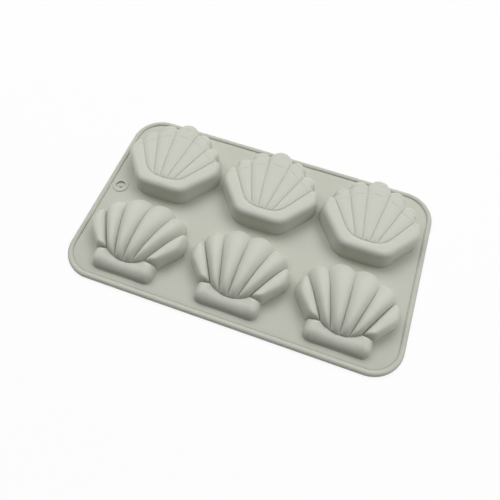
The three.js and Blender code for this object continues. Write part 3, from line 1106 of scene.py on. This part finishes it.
    def over_bar(
        self, ring: Columns, length: np.ndarray, end: np.ndarray, wall: float, base: float
    ) -> tuple[np.ndarray, np.ndarray]:
        """Works out columns that climb the bar's rounded side and dip into the crease behind it.

        Args:
            ring: The columns.
            length: Their lengths in plan.
            end: Their heights at the spine.
            wall: How far the sheet lies under the outer one.
            base: The height at which it starts.

        Returns:
            Distances in from the foot and heights, each of shape (columns, rows).
        """
        radius = self.hinge_radius - wall
        span = ring.top - ring.foot
        probes = np.linspace(0, 1, self.probes) ** 2
        tried = ring.foot[:, None, :] + probes[None, :, None] * span[:, None, :]
        grown = np.maximum.accumulate(distance_to_path(tried, ring.foot, closed=True), axis=1)
        levels = np.linspace(0, self.hinge_inset, self.wall_steps + 1)
        climb = np.array([np.interp(levels, row, probes) for row in grown])
        even = np.linspace(0, 1, self.rise_steps + self.crown_steps + 1 - self.wall_steps)
        onward = (even**self.bar_bunching + 1 - (1 - even) ** self.bar_bunching) / 2
        shares = np.hstack([climb[:, :-1], climb[:, -1:] + (1 - climb[:, -1:]) * onward])
        plan = ring.foot[:, None, :] + shares[..., None] * span[:, None, :]
        apart = distance_to_path(plan, ring.foot, closed=True)
        bend = np.clip((self.hinge_inset + radius - apart) / radius, 0, 1)
        top = self.bar_top(ring.spine_share) - wall
        upright = np.minimum(radius, top - base - self.least_side)[:, None]
        height = top[:, None] - upright * (1 - np.sqrt(1 - bend**2))
        sunk = height[:, -1:] - end[:, None]
        reach = np.where(ring.slide > 0, self.ear_reach, self.crease_reach)[:, None]
        near = np.clip(1 - (1 - shares) * length[:, None] / reach, 0, 1)
        height -= sunk * (1 - np.sqrt(1 - near**2))
        edge = self.wall_steps
        height[:, :edge] = base + (height[:, edge : edge + 1] - base) * (levels[:-1] / levels[-1])
        return shares * length[:, None], height


@dataclass
class CupSkin:
    """The closed wall of one cup: its border on the web, its outer sheet, its cavity and its mouth."""

    form: CupForm
    row: Row
    front: float
    web_top: float = 3.0
    border_margin: float = 1.15
    border_rounding: float = 2.4
    foot_rounding: float = 0.6
    flat_ring: float = 0.65
    fillet_steps: int = 5

    def __post_init__(self) -> None:
        """Works out the ring, its border and the cup's mesh data once, for all the cups of a row."""
        self.columns = self.form.ring().measured(self.foot_rounding)
        self.border = self.columns.border(self.border_rounding, self.border_margin)
        self.points = self.all_points()

    def all_points(self) -> np.ndarray:
        """Joins every row of a column: border, foot, outer sheet, cavity, mouth and the border's underside.

        Returns:
            Points of shape (columns, rows, 3), round the cup's own place.
        """
        form, ring = self.form, self.columns
        count = len(ring.foot)
        turn = np.linspace(0, QUARTER, self.fillet_steps + 1)[None, :]
        inward = ring.foot - self.border
        flat = self.border + inward * (self.flat_ring / self.border_margin)
        foot_plan = flat[:, None, :] + (ring.foot - flat)[:, None, :] * np.sin(turn)[..., None]
        foot_height = form.foot_fillet * (1 - np.cos(turn)) + np.zeros((count, 1))
        foot = np.dstack([foot_plan, foot_height])
        edge = np.dstack([self.border[:, None, :], np.zeros((count, 1))])
        outer = form.rise(ring, Sheet.OUTER)
        inner_ring = ring.drawn_in(form.wall)
        cavity = form.rise(inner_ring, Sheet.CAVITY)[:, ::-1, :]
        lip = inner_ring.foot + form.mouth_round * inner_ring.outward
        mouth_plan = lip[:, None, :] + (inner_ring.foot - lip)[:, None, :] * np.sin(turn)[..., None]
        mouth_height = form.mouth_round * (1 - np.cos(turn)) - form.web_thickness + np.zeros((count, 1))
        mouth = np.dstack([mouth_plan, mouth_height])[:, ::-1, :]
        under = edge - [0, 0, form.web_thickness]
        self.outer_rows = foot.shape[1] + outer.shape[1]
        outer_part = np.concatenate([edge, foot, outer[:, 1:, :]], axis=1)
        inner_part = np.concatenate([cavity[:, :-1, :], mouth, under], axis=1)
        return np.concatenate([outer_part, inner_part], axis=1)

    def build(self, place: Place, pitch: float, material: bpy.types.Material) -> bpy.types.Object:
        """Builds the cup that stands at one place of its row.

        Args:
            place: Its place.
            pitch: The distance from cup to cup.
            material: Its finish.

        Returns:
            The finished piece.
        """
        shift = np.array([place.value * pitch, self.front, self.web_top])
        points = self.points + shift
        columns, rows, _ = points.shape
        faces = strips(columns, rows, self.outer_rows - 1)
        name = f"{self.row.value.replace('_cup', '')}_{place.name.lower()}_skin"
        mesh = mesh_of(name, points.reshape(-1, 3), faces)
        return add_piece(name, mesh, f"{self.row.value}_{place.name.lower()}", material)


# The flat parts


@dataclass
class Plate:
    """The mould's outline, which its web and its bead share."""

    length: float = 290.0
    depth: float = 177.0
    corner: float = 27.0
    bead_width: float = 4.6
    web_top: float = 3.0
    web_bottom: float = 1.2

    def loop(self, inset: float, steps: int = 24) -> np.ndarray:
        """Gives points round the outline, drawn in from it."""
        return rounded_rectangle(self.length, self.depth, self.corner, inset, steps)


@dataclass
class WebSkin:
    """The flat web with a hole for each cup and for the gate pad, and a fine groove just inside the bead."""

    plate: Plate
    groove_width: float = 1.0
    groove_depth: float = 0.55
    # The groove's section: how far out of it each point lies, and how far down.
    groove_shares: Sequence[tuple[float, float]] = ((1.0, 0.0), (0.72, 0.15), (0.42, 0.6), (0.15, 0.95))
    # How far the web runs in under the bead.
    tuck: float = 0.4

    def triangles(self, loops: Sequence[np.ndarray]) -> list[tuple[int, int, int]]:
        """Fills between an outer loop and the loops of its holes.

        Args:
            loops: The outer loop and then each hole's, in plan.

        Returns:
            The numbers of each triangle's points, counted through all the loops.
        """
        points = np.vstack(loops)
        edges, first = [], 0
        for loop in loops:
            edges += [(first + i, first + (i + 1) % len(loop)) for i in range(len(loop))]
            first += len(loop)
        made = delaunay_2d_cdt([Vector(p) for p in points.tolist()], edges, [], 1, HAIR, True)
        back = [ids[0] for ids in made[3]]
        faces = [tuple(back[v] for v in face) for face in made[2]]
        middles = np.array([points[list(face)].mean(axis=0) for face in faces])
        starts = points[[a for a, _ in edges]]
        ends = points[[b for _, b in edges]]
        crossings = np.zeros(len(middles), dtype=int)
        for a, b in zip(starts, ends):
            spans = (a[1] > middles[:, 1]) != (b[1] > middles[:, 1])
            rise = b[1] - a[1] if b[1] != a[1] else 1.0
            reach = a[0] + (middles[:, 1] - a[1]) * (b[0] - a[0]) / rise
            crossings += spans & (middles[:, 0] < reach)
        return [face for face, count in zip(faces, crossings) if count % 2 == 1]

    def build(self, holes: Sequence[np.ndarray], material: bpy.types.Material) -> bpy.types.Object:
        """Builds the web.

        Args:
            holes: The loop of each hole, in plan.
            material: Its finish.

        Returns:
            The finished piece.
        """
        plate = self.plate
        edge = plate.bead_width
        dip = self.groove_depth
        section = [(edge + out * self.groove_width, down * dip) for out, down in self.groove_shares]
        section.append((edge - self.tuck, dip))
        rims = [(plate.loop(inset), plate.web_top - down) for inset, down in section]
        rims.append((plate.loop(edge - self.tuck), plate.web_bottom))
        around = len(rims[0][0])
        top_loops = [rims[0][0], *holes]
        bottom_loops = [rims[-1][0], *holes]
        cut = np.vstack(holes)
        points = np.vstack(
            [np.column_stack([loop, np.full(around, z)]) for loop, z in rims]
            + [np.column_stack([cut, np.full(len(cut), z)]) for z in (plate.web_top, plate.web_bottom)]
        )
        rim_count = around * len(rims)
        faces: list[tuple[int, ...]] = []
        for face in self.triangles(top_loops):
            faces.append(tuple(v if v < around else rim_count + v - around for v in face))
        last = around * (len(rims) - 1)
        low = rim_count + len(cut) - around
        for face in self.triangles(bottom_loops):
            faces.append(tuple(v + (last if v < around else low) for v in face[::-1]))
        for first in range(0, last, around):
            for k in range(around):
                here, after = first + k, first + (k + 1) % around
                faces.append((here, here + around, after + around, after))
        first = rim_count
        for hole in holes:
            for k in range(len(hole)):
                here, after = first + k, first + (k + 1) % len(hole)
                faces.append((here, after, after + len(cut), here + len(cut)))
            first += len(hole)
        return add_piece("web_skin", mesh_of("web_skin", points, faces), "web_sheet", material)


@dataclass
class RimSkin:
    """The rounded bead round the web, its section swept along the mould's outline by Geometry Nodes."""

    plate: Plate
    height: float = 4.2
    foot_round: float = 0.8
    outer_wall: float = 1.9
    inner_wall: float = 2.5
    arc_steps: int = 10
    foot_steps: int = 4
    corner_steps: int = 28

    def section(self) -> np.ndarray:
        """Works out the bead's section, as distances in from the edge and heights, anticlockwise.

        Returns:
            Points of shape (n, 2).
        """
        width, middle, r = self.plate.bead_width, self.plate.bead_width / 2, self.foot_round
        quarter = np.linspace(0, QUARTER, self.arc_steps + 1)
        corner = np.linspace(0, QUARTER, self.foot_steps + 1)
        inner_rise, outer_rise = self.height - self.inner_wall, self.height - self.outer_wall
        inner_foot = np.column_stack([width - r + r * np.sin(corner), r - r * np.cos(corner)])
        inner_top = np.column_stack(
            [middle + middle * np.cos(quarter), self.inner_wall + inner_rise * np.sin(quarter)]
        )
        outer_top = np.column_stack(
            [middle - middle * np.sin(quarter), self.outer_wall + outer_rise * np.cos(quarter)]
        )
        outer_foot = np.column_stack([r - r * np.cos(corner), r - r * np.sin(corner)])
        return np.vstack([inner_foot, inner_top, outer_top[1:], outer_foot])

    def tree(self) -> bpy.types.NodeTree:
        """Builds the node tree that sweeps a section along a rounded rectangle.

        Returns:
            The tree, with named inputs for its sizes.
        """
        tree = bpy.data.node_groups.new("bead_along_outline", "GeometryNodeTree")
        sockets = tree.interface
        sockets.new_socket("Section", in_out="INPUT", socket_type="NodeSocketGeometry")
        for name in ("Length", "Depth", "Corner radius"):
            sockets.new_socket(name, in_out="INPUT", socket_type="NodeSocketFloat")
        sockets.new_socket("Corner steps", in_out="INPUT", socket_type="NodeSocketInt")
        sockets.new_socket("Finish", in_out="INPUT", socket_type="NodeSocketMaterial")
        sockets.new_socket("Bead", in_out="OUTPUT", socket_type="NodeSocketGeometry")
        given = add_node(tree, "NodeGroupInput").outputs
        outline = add_node(
            tree,
            "GeometryNodeCurvePrimitiveQuadrilateral",
            links={"Width": given["Length"], "Height": given["Depth"]},
            mode="RECTANGLE",
        )
        rounded = add_node(
            tree,
            "GeometryNodeFilletCurve",
            links={
                "Curve": outline.outputs[0],
                "Radius": given["Corner radius"],
                "Count": given["Corner steps"],
            },
            mode="POLY",
        )
        profile = add_node(tree, "GeometryNodeMeshToCurve", links={"Mesh": given["Section"]})
        swept = add_node(
            tree,
            "GeometryNodeCurveToMesh",
            links={"Curve": rounded.outputs[0], "Profile Curve": profile.outputs[0]},
        )
        smooth = add_node(tree, "GeometryNodeSetShadeSmooth", links={"Geometry": swept.outputs[0]})
        real = add_node(tree, "GeometryNodeRealizeInstances", links={"Geometry": smooth.outputs[0]})
        dressed = add_node(
            tree,
            "GeometryNodeSetMaterial",
            links={"Geometry": real.outputs[0], "Material": given["Finish"]},
        )
        add_node(tree, "NodeGroupOutput", links={"Bead": dressed.outputs[0]})
        return tree

    def build(self, material: bpy.types.Material) -> bpy.types.Object:
        """Builds the bead.

        Args:
            material: Its finish.

        Returns:
            The finished piece.
        """
        plate = self.plate
        section = self.section()
        count = len(section)
        base = bpy.data.meshes.new("bead_section")
        # The sweep carries +X outwards and +Y downwards, so distances in and heights are turned round.
        flat = np.column_stack([-section, np.zeros(count)]) * METRES
        base.from_pydata(flat.tolist(), [(i, (i + 1) % count) for i in range(count)], [])
        carrier = bpy.data.objects.new("bead_carrier", base)
        bpy.context.scene.collection.objects.link(carrier)
        modifier = carrier.modifiers.new("bead", "NODES")
        modifier.node_group = self.tree()
        sizes = {
            "Length": plate.length * METRES,
            "Depth": plate.depth * METRES,
            "Corner radius": plate.corner * METRES,
            "Corner steps": self.corner_steps,
            "Finish": material,
        }
        for item in modifier.node_group.interface.items_tree:
            if item.in_out == "INPUT" and item.name in sizes:
                modifier[item.identifier] = sizes[item.name]
        evaluated = carrier.evaluated_get(bpy.context.evaluated_depsgraph_get())
        swept = bpy.data.meshes.new_from_object(evaluated)
        carrier.modifiers.remove(modifier)
        bpy.data.objects.remove(carrier)
        points = np.empty(len(swept.vertices) * 3)
        swept.vertices.foreach_get("co", points)
        faces = [tuple(polygon.vertices) for polygon in swept.polygons]
        mesh = mesh_of("rim_skin", points.reshape(-1, 3) / METRES, faces)
        return add_piece("rim_skin", mesh, "rim_bead", material)


@dataclass
class GatePad:
    """The low round pad with a well and a nub, where the silicone was let into the tool."""

    place: tuple[float, float] = (-131.4, 4.0)
    radius: float = 6.8
    rise: float = 0.8
    flare: float = 0.5
    well_radius: float = 4.3
    well_depth: float = 1.7
    nub_radius: float = 1.5
    nub_rise: float = 1.1
    round_off: float = 0.25
    # The flare is level with the web. A ring of points stands at this share of its width, and the pad's foot
    # is rounded by this much.
    flat_share: float = 0.45
    foot_round: float = 0.1
    # The well's floor rises at the nub's foot by this share of the rounding. A ring of points stands at this
    # share of the radius on the pad's underside.
    floor_share: float = 0.4
    under_share: float = 0.5
    round_steps: int = 4
    around: int = 72

    def outline(self) -> np.ndarray:
        """Gives the loop of the pad's hole in the web."""
        return np.array(self.place) + (self.radius + self.flare) * self.directions()

    def directions(self) -> np.ndarray:
        """Gives the directions of the pad's columns, evenly round it."""
        turn = np.arange(self.around) / self.around * 2 * math.pi
        return np.column_stack([np.cos(turn), np.sin(turn)])

    def section(self, web_top: float, web_bottom: float) -> np.ndarray:
        """Works out the pad's section from its underside, out and up to its middle.

        Args:
            web_top: Height of the web's top.
            web_bottom: Height of its underside.

        Returns:
            Radii and heights, of shape (n, 2).
        """
        top = web_top + self.rise
        floor = top - self.well_depth
        nub = floor + self.nub_rise
        full, well = self.radius + self.flare, self.well_radius
        r, small, slope = self.round_off, self.foot_round, self.floor_share * self.round_off
        turns = np.linspace(0, QUARTER, self.round_steps + 1)
        quarter = [(math.sin(turn), math.cos(turn)) for turn in turns]
        rows = [(0.0, web_bottom), (self.radius * self.under_share, web_bottom), (full, web_bottom)]
        rows += [(full, web_top), (self.radius + self.flat_share * self.flare, web_top)]
        rows += [(self.radius + small * cos, web_top + small * sin) for sin, cos in quarter]
        rows += [(self.radius - r + r * cos, top - r + r * sin) for sin, cos in quarter]
        rows += [(well + r * (1 - sin), top - r * (1 - cos)) for sin, cos in quarter]
        rows += [(well - r * (1 - cos), floor + r - r * sin) for sin, cos in quarter]
        rows += [(self.nub_radius + r * (1 - sin), floor + slope * (1 - cos)) for sin, cos in quarter]
        rows += [(self.nub_radius * cos, nub - r + r * sin) for sin, cos in quarter[:-1]]
        rows += [(0.0, nub)]
        return np.array(rows)

    def build(self, plate: Plate, material: bpy.types.Material) -> bpy.types.Object:
        """Builds the pad.

        Args:
            plate: The web that it stands in.
            material: Its finish.

        Returns:
            The finished piece.
        """
        section = self.section(plate.web_top, plate.web_bottom)
        plan = np.array(self.place) + self.directions()[:, None, :] * section[None, :, :1]
        points = np.dstack([plan, np.tile(section[:, 1], (self.around, 1))])
        faces = strips(self.around, len(section), len(section) - 1)
        mesh = mesh_of("gate_pad_skin", points.reshape(-1, 3), faces)
        return add_piece("gate_pad_skin", mesh, "gate_pad", material)


# The studio


@dataclass(frozen=True)
class Lamp:
    """A round soft light that faces the object. Its bearing runs from +Y towards +X, in degrees."""

    name: str
    bearing: float
    climb: float
    power: float
    size: float = 2.0
    distance: float = 3.0

    def build(self) -> None:
        """Builds the light."""
        light = bpy.data.lights.new(self.name, "AREA")
        light.shape = "DISK"
        light.size = self.size
        light.energy = self.power
        lamp = bpy.data.objects.new(self.name, light)
        turn, climb = math.radians(self.bearing), math.radians(self.climb)
        level = math.cos(climb)
        place = Vector((math.sin(turn) * level, math.cos(turn) * level, math.sin(climb))) * self.distance
        lamp.location = place
        lamp.rotation_mode = "QUATERNION"
        lamp.rotation_quaternion = (-place).to_track_quat("-Z", "Y")
        bpy.context.scene.collection.objects.link(lamp)


@dataclass(frozen=True)
class Viewpoint:
    """The camera, where the photograph's corners and creases put it, in metres."""

    place: tuple[float, float, float] = (0.056844, -0.201466, 0.368063)
    right: tuple[float, float, float] = (0.94222, 0.33401, 0.02554)
    down: tuple[float, float, float] = (0.30709, -0.83079, -0.46419)
    ahead: tuple[float, float, float] = (-0.13382, 0.44522, -0.88537)
    # The width of its film and the length of its lens, in millimetres.
    film: float = 36.0
    lens: float = 34.667

    def build(self) -> None:
        """Builds the camera and looks through it."""
        data = bpy.data.cameras.new("camera")
        data.sensor_width = self.film
        data.lens = self.lens
        camera = bpy.data.objects.new("camera", data)
        axes = (Vector(self.right), -Vector(self.down), -Vector(self.ahead))
        turned = Matrix(axes).transposed().to_4x4()
        camera.matrix_world = Matrix.Translation(Vector(self.place)) @ turned
        bpy.context.scene.collection.objects.link(camera)
        bpy.context.scene.camera = camera


@dataclass
class Studio:
    """The floor, the soft light and the camera."""

    # The floor reaches this far each way, in metres. It lies a hair under the bead's foot, in millimetres, so
    # that the two never share a plane.
    floor_reach: float = 6.0
    floor_drop: float = 0.2
    sky_strength: float = 0.02
    lamps: Sequence[Lamp] = (
        Lamp("back_softbox", 0, 55, 29),
        Lamp("back_left_softbox", -60, 55, 40),
        Lamp("back_right_softbox", 60, 55, 29),
        Lamp("right_card", 90, 35, 9),
        Lamp("left_card", -90, 35, 5.5),
        Lamp("low_right_card", 60, 15, 6.5),
        Lamp("front_card", 180, 15, 2.5),
    )

    def build(self) -> None:
        """Builds the floor, the lights and the camera."""
        self.add_floor()
        self.add_sky()
        for lamp in self.lamps:
            lamp.build()
        Viewpoint().build()
        bpy.context.scene.view_settings.view_transform = "Standard"

    def add_floor(self) -> None:
        """Adds the floor."""
        mesh = bpy.data.meshes.new("floor")
        low = -self.floor_drop * METRES
        sides = ((-1, -1), (1, -1), (1, 1), (-1, 1))
        corners = [(x * self.floor_reach, y * self.floor_reach, low) for x, y in sides]
        mesh.from_pydata(corners, [], [(0, 1, 2, 3)])
        floor = bpy.data.objects.new("floor", mesh)
        bpy.context.scene.collection.objects.link(floor)
        mesh.materials.append(PaperFloor().make())

    def add_sky(self) -> None:
        """Adds an even sky that the camera sees as white."""
        world = bpy.data.worlds.new("soft_room")
        tree = blank_tree(world)
        seen = camera_rays(tree)
        light, white = (
            add_node(tree, "ShaderNodeBackground", {"Strength": strength, "Color": (1, 1, 1, 1)}).outputs[0]
            for strength in (self.sky_strength, 1.0)
        )
        mixed = add_node(tree, "ShaderNodeMixShader", links={0: seen, 1: light, 2: white})
        add_node(tree, "ShaderNodeOutputWorld", links={"Surface": mixed.outputs[0]})
        bpy.context.scene.world = world


SCALLOP = ScallopForm(
    width=89.3,
    length=78.8,
    height=19.0,
    spine_half=16.7,
    spine_front=12.0,
    spine_rise=3.3,
    notches=((0.242, 0.898), (0.587, 0.768), (0.838, 0.612)),
    spine_shares=(0.19, 0.55, 1.0),
    swells=(0.37, 0.324, 0.3),
    lip=(
        (0.866, 0.622), (0.9, 0.612), (0.936, 0.585), (0.966, 0.543), (0.985, 0.492), (0.99, 0.44),
        (0.968, 0.386), (0.91, 0.325), (0.785, 0.23), (0.64, 0.125), (0.54, 0.055), (0.42, 0.012),
        (0.27, 0.0), (0.0, 0.0),
    ),
)

CLAM = ClamForm(
    width=85.6,
    length=72.8,
    height=20.0,
    spine_half=16.7,
    spine_front=10.0,
    spine_rise=5.8,
    notches=((0.0, 0.955), (0.528, 0.897), (0.853, 0.717)),
    spine_shares=(0.0, 0.43, 1.0),
    swells=(0.226, 0.262),
    crease_heights=(0.72, 0.66, 0.46),
    crest_heights=(1.0, 0.925),
    peaks=(0.53, 0.54, 0.56, 0.16),
    flank=(
        (0.9, 0.71), (0.958, 0.66), (0.99, 0.6), (1.0, 0.54), (0.985, 0.475), (0.915, 0.405), (0.8, 0.325),
        (0.64, 0.213),
    ),
    hinge=((0.645, 0.13), (0.625, 0.06), (0.56, 0.012), (0.47, 0.0), (0.25, 0.0), (0.0, 0.0)),
)


@dataclass
class Mould:
    """The whole mould: its rows stand one behind the other inside the bead."""

    plate: Plate = field(default_factory=Plate)
    # The gaps between two cups at their widest, between the bead and the front row, and between the rows.
    cup_gap: float = 2.4
    front_margin: float = 5.9
    row_gap: float = 8.2

    def build(self) -> None:
        """Builds every skin in order: the web's holes follow from the cups' borders."""
        finish = MouldedSilicone().make()
        pitch = max(SCALLOP.width, CLAM.width) + self.cup_gap
        clam_front = self.plate.bead_width + self.front_margin - self.plate.depth / 2
        scallop_front = clam_front + CLAM.length + self.row_gap
        skins = [CupSkin(SCALLOP, Row.SCALLOP, scallop_front), CupSkin(CLAM, Row.CLAM, clam_front)]
        pad = GatePad()
        holes = [skin.border + [place.value * pitch, skin.front] for skin in skins for place in Place]
        WebSkin(self.plate).build([*holes, pad.outline()], finish)
        RimSkin(self.plate).build(finish)
        pad.build(self.plate, finish)
        for skin in skins:
            for place in Place:
                skin.build(place, pitch, finish)


def main() -> None:
    """Builds the mould and its studio."""
    Studio().build()
    Mould().build()


if __name__ == "__main__":
    main()
